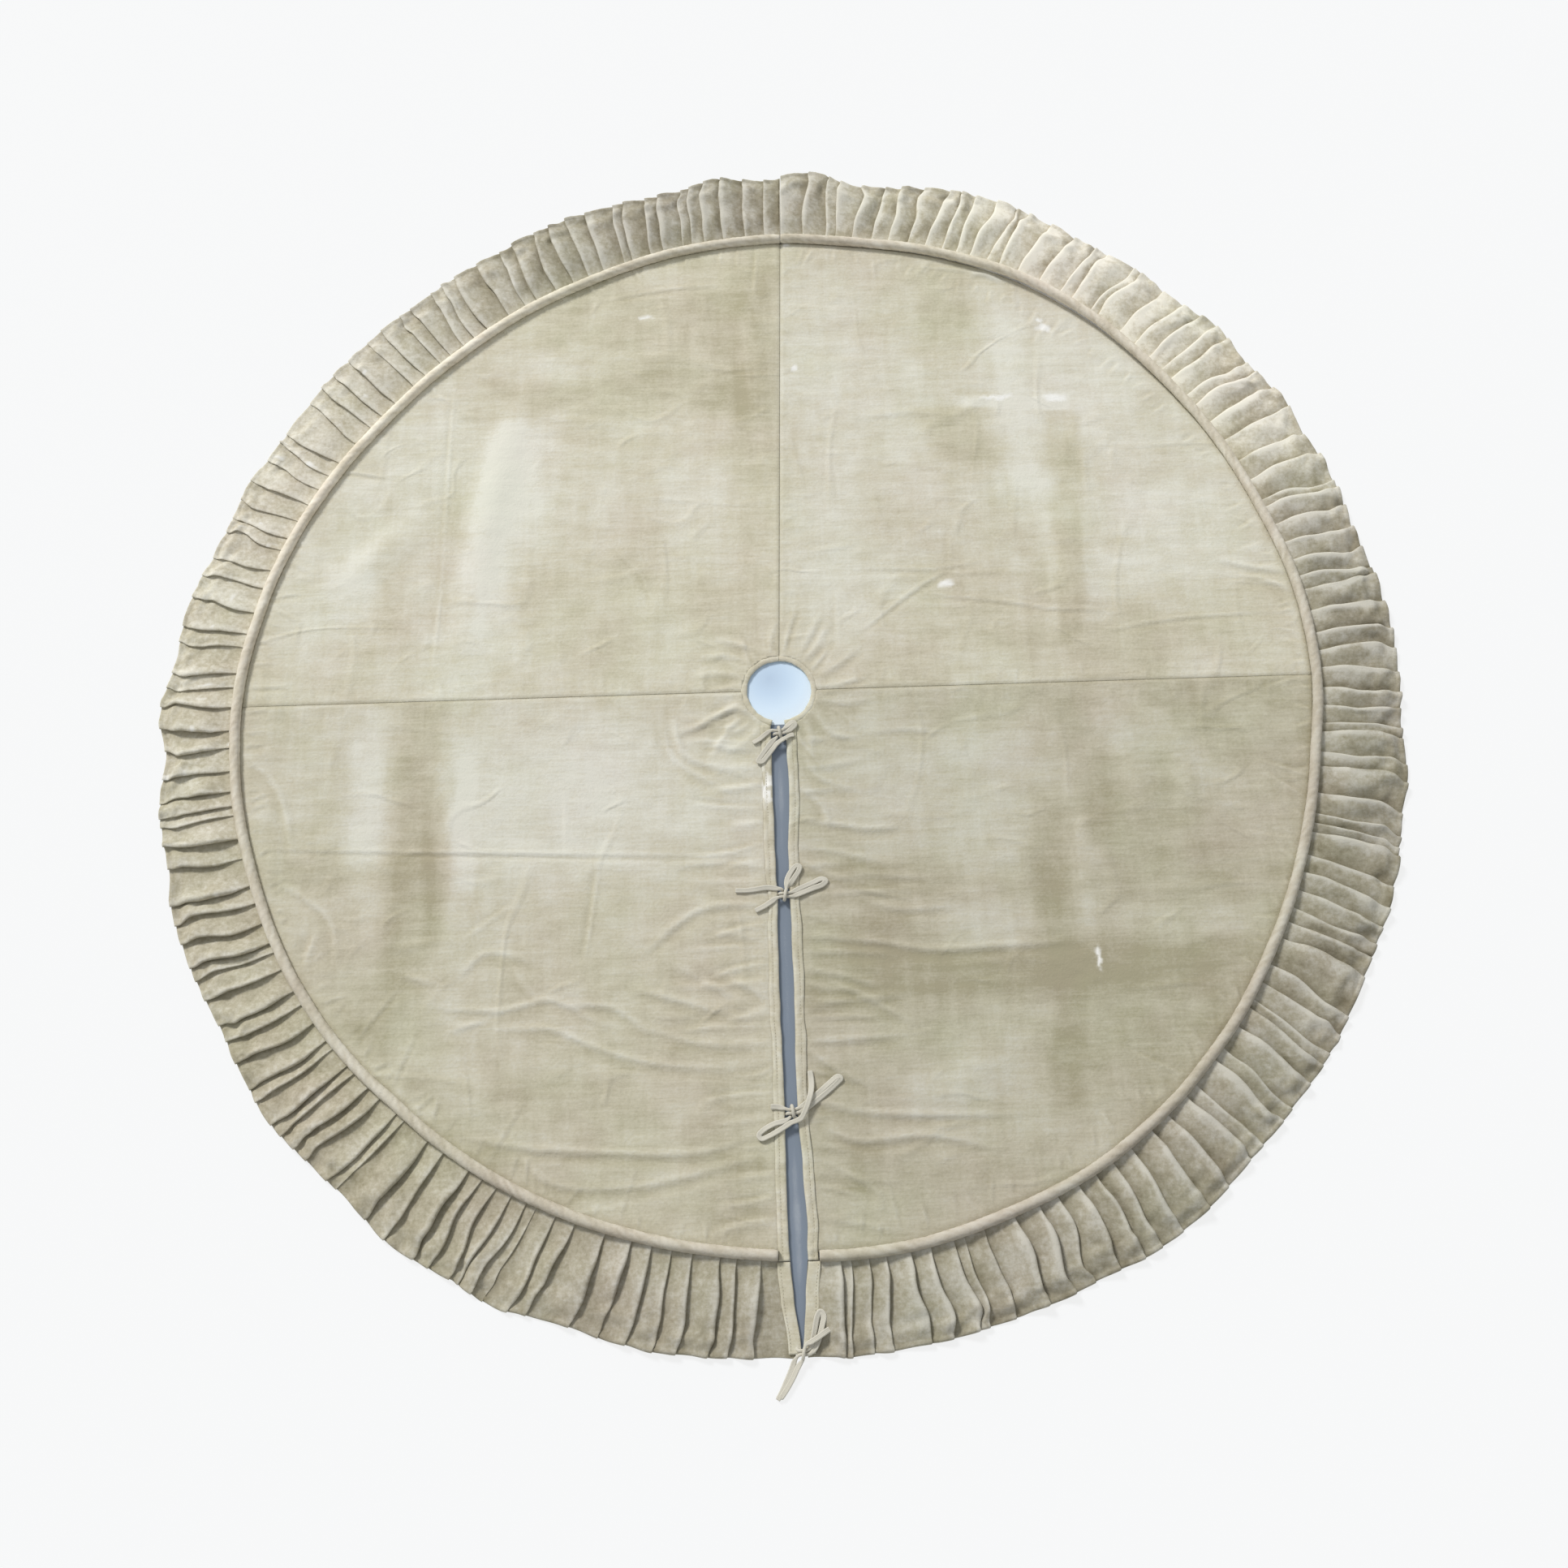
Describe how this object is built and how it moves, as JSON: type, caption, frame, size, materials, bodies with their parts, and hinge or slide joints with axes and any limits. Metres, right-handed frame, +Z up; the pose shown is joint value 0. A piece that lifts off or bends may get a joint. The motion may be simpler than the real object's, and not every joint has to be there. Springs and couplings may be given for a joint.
{
  "type": "tree skirt",
  "caption": "Round velvet tree skirt lying flat, with a pleated ruffle, a filled welt, a trunk hole and a front slit closed by tied bows; the front folds over the rear.",
  "frame": {"origin": "middle of the trunk hole, on the floor plane that the lining rests on", "axes": "+Z up; the slit runs from the hole along -Y, which is the front; the cross seams and fold line run along X"},
  "size_m": [1.5238, 1.5786, 0.0127],
  "materials": {
    "velvet": "champagne velvet, crushed pile",
    "lining": "plain woven lining",
    "cotton_cord": "soft cotton filler cord",
    "tie_cloth": "folded and stitched velvet tape"
  },
  "bodies": {
    "rear_half": {"hole_binding_rear": "velvet", "lining_rear_left": "lining", "lining_rear_right": "lining", "ruffle_rear_left": "velvet", "ruffle_rear_right": "velvet", "velvet_rear_left": "velvet", "velvet_rear_right": "velvet", "welt_cord_rear": "cotton_cord", "welt_cover_rear": "velvet"},
    "front_left_quarter": {"hole_binding_front_left": "velvet", "lining_front_left": "lining", "ruffle_front_left": "velvet", "ruffle_hem_left": "velvet", "slit_binding_left": "velvet", "tie_1_left": "tie_cloth", "tie_2_left": "tie_cloth", "tie_3_left": "tie_cloth", "tie_4_left": "tie_cloth", "velvet_front_left": "velvet", "welt_cord_front_left": "cotton_cord", "welt_cover_front_left": "velvet"},
    "front_right_quarter": {"hole_binding_front_right": "velvet", "lining_front_right": "lining", "ruffle_front_right": "velvet", "ruffle_hem_right": "velvet", "slit_binding_right": "velvet", "tie_1_right": "tie_cloth", "tie_2_right": "tie_cloth", "tie_3_right": "tie_cloth", "tie_4_right": "tie_cloth", "velvet_front_right": "velvet", "welt_cord_front_right": "cotton_cord", "welt_cover_front_right": "velvet"}
  },
  "joints": [
    {"name": "front_left_fold", "type": "hinge", "parent": "rear_half", "child": "front_left_quarter", "pos_m": [-0.38, 0, 0.014], "axis": [-1, 0, 0], "range_deg": [0, 180]},
    {"name": "front_right_fold", "type": "hinge", "parent": "rear_half", "child": "front_right_quarter", "pos_m": [0.38, 0, 0.014], "axis": [-1, 0, 0], "range_deg": [0, 180]}
  ],
  "couplings": [
    {"joint": "front_right_fold", "follows": "front_left_fold", "ratio": 1}
  ]
}
